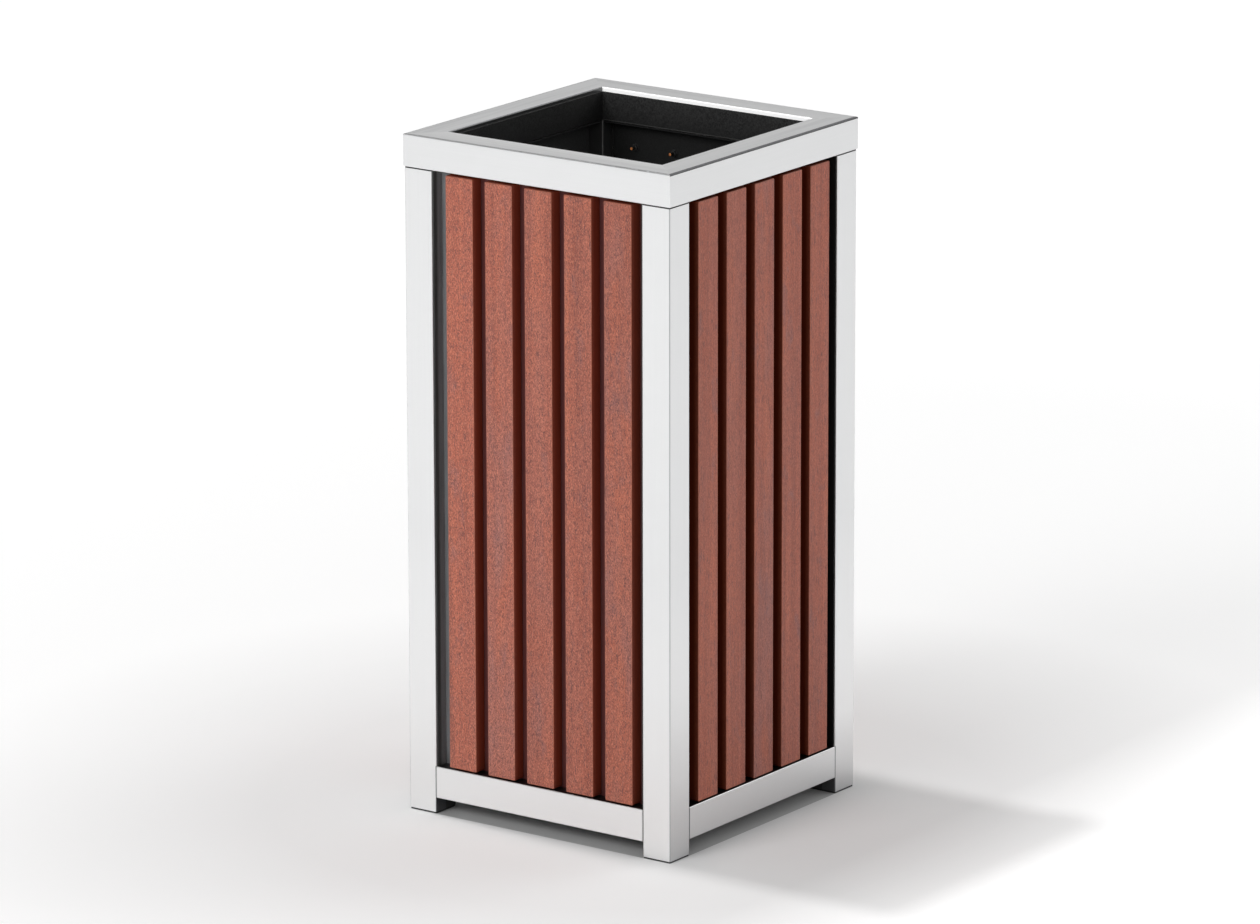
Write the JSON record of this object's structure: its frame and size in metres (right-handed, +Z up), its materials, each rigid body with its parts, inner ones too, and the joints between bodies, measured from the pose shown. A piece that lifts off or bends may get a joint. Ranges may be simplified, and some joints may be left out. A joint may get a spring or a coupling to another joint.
{
  "type": "litter bin",
  "caption": "Square street litter bin: tube housing clad with vertical wooden laths on folded panels, hinged square top frame, lift-out sheet liner with a swinging bail handle.",
  "frame": {"origin": "middle of the square footprint, at ground level", "axes": "+Z up, -Y out of the front, +X to the right seen from the front; the hinges are at +Y"},
  "size_m": [0.39, 0.4085, 0.84],
  "materials": {
    "satin_steel": "satin brushed steel tube",
    "black_paint": "fine-textured black powder coat",
    "stained_wood": "planed softwood with a satin red-brown stain",
    "yellow_zinc": "yellow zinc-plated studs",
    "black_oxide": "blackened flange nuts",
    "black_plastic": "moulded matt black",
    "bright_steel": "bright zinc-plated steel",
    "galvanised_steel": "hot-dip galvanised sheet",
    "rivet_aluminium": "plain"
  },
  "bodies": {
    "housing": {"post_front_left": "satin_steel", "post_front_right": "satin_steel", "post_back_right": "satin_steel", "post_back_left": "satin_steel", "rail_front": "satin_steel", "rail_right": "satin_steel", "rail_back": "satin_steel", "rail_left": "satin_steel", "panel_front": "black_paint", "panel_right": "black_paint", "panel_back": "black_paint", "panel_left": "black_paint", "lath_front_1": "stained_wood", "lath_front_2": "stained_wood", "lath_front_3": "stained_wood", "lath_front_4": "stained_wood", "lath_front_5": "stained_wood", "lath_right_1": "stained_wood", "lath_right_2": "stained_wood", "lath_right_3": "stained_wood", "lath_right_4": "stained_wood", "lath_right_5": "stained_wood", "lath_back_1": "stained_wood", "lath_back_2": "stained_wood", "lath_back_3": "stained_wood", "lath_back_4": "stained_wood", "lath_back_5": "stained_wood", "lath_left_1": "stained_wood", "lath_left_2": "stained_wood", "lath_left_3": "stained_wood", "lath_left_4": "stained_wood", "lath_left_5": "stained_wood", "lath_studs": "yellow_zinc", "lath_nuts": "black_oxide", "foot_plugs": "black_plastic", "post_caps": "black_plastic", "base_plate": "black_paint", "base_plate_screws": "bright_steel", "anchor_sleeves": "galvanised_steel", "hinge_left_body_leaf": "satin_steel", "hinge_right_body_leaf": "satin_steel", "hinge_pins": "bright_steel"},
    "top_frame": {"frame_front": "satin_steel", "frame_right": "satin_steel", "frame_back": "satin_steel", "frame_left": "satin_steel", "inner_collar": "black_paint", "hinge_left_frame_leaf": "satin_steel", "hinge_right_frame_leaf": "satin_steel"},
    "liner": {"liner": "galvanised_steel", "handle_ears": "galvanised_steel", "handle_rests": "galvanised_steel", "liner_rivets": "rivet_aluminium"},
    "handle": {"liner_handle": "bright_steel", "handle_grip": "black_plastic"}
  },
  "joints": [
    {"name": "top_frame_hinge", "type": "hinge", "parent": "housing", "child": "top_frame", "pos_m": [0, 0.2015, 0.79925], "axis": [-1, 0, 0], "range_deg": [0, 100]},
    {"name": "liner_lift", "type": "slide", "parent": "housing", "child": "liner", "axis": [0, 0, 1], "range_m": [0, 0.8]},
    {"name": "handle_swing", "type": "hinge", "parent": "liner", "child": "handle", "pos_m": [0, 0, 0.705], "axis": [1, 0, 0], "range_deg": [0, 180]}
  ]
}
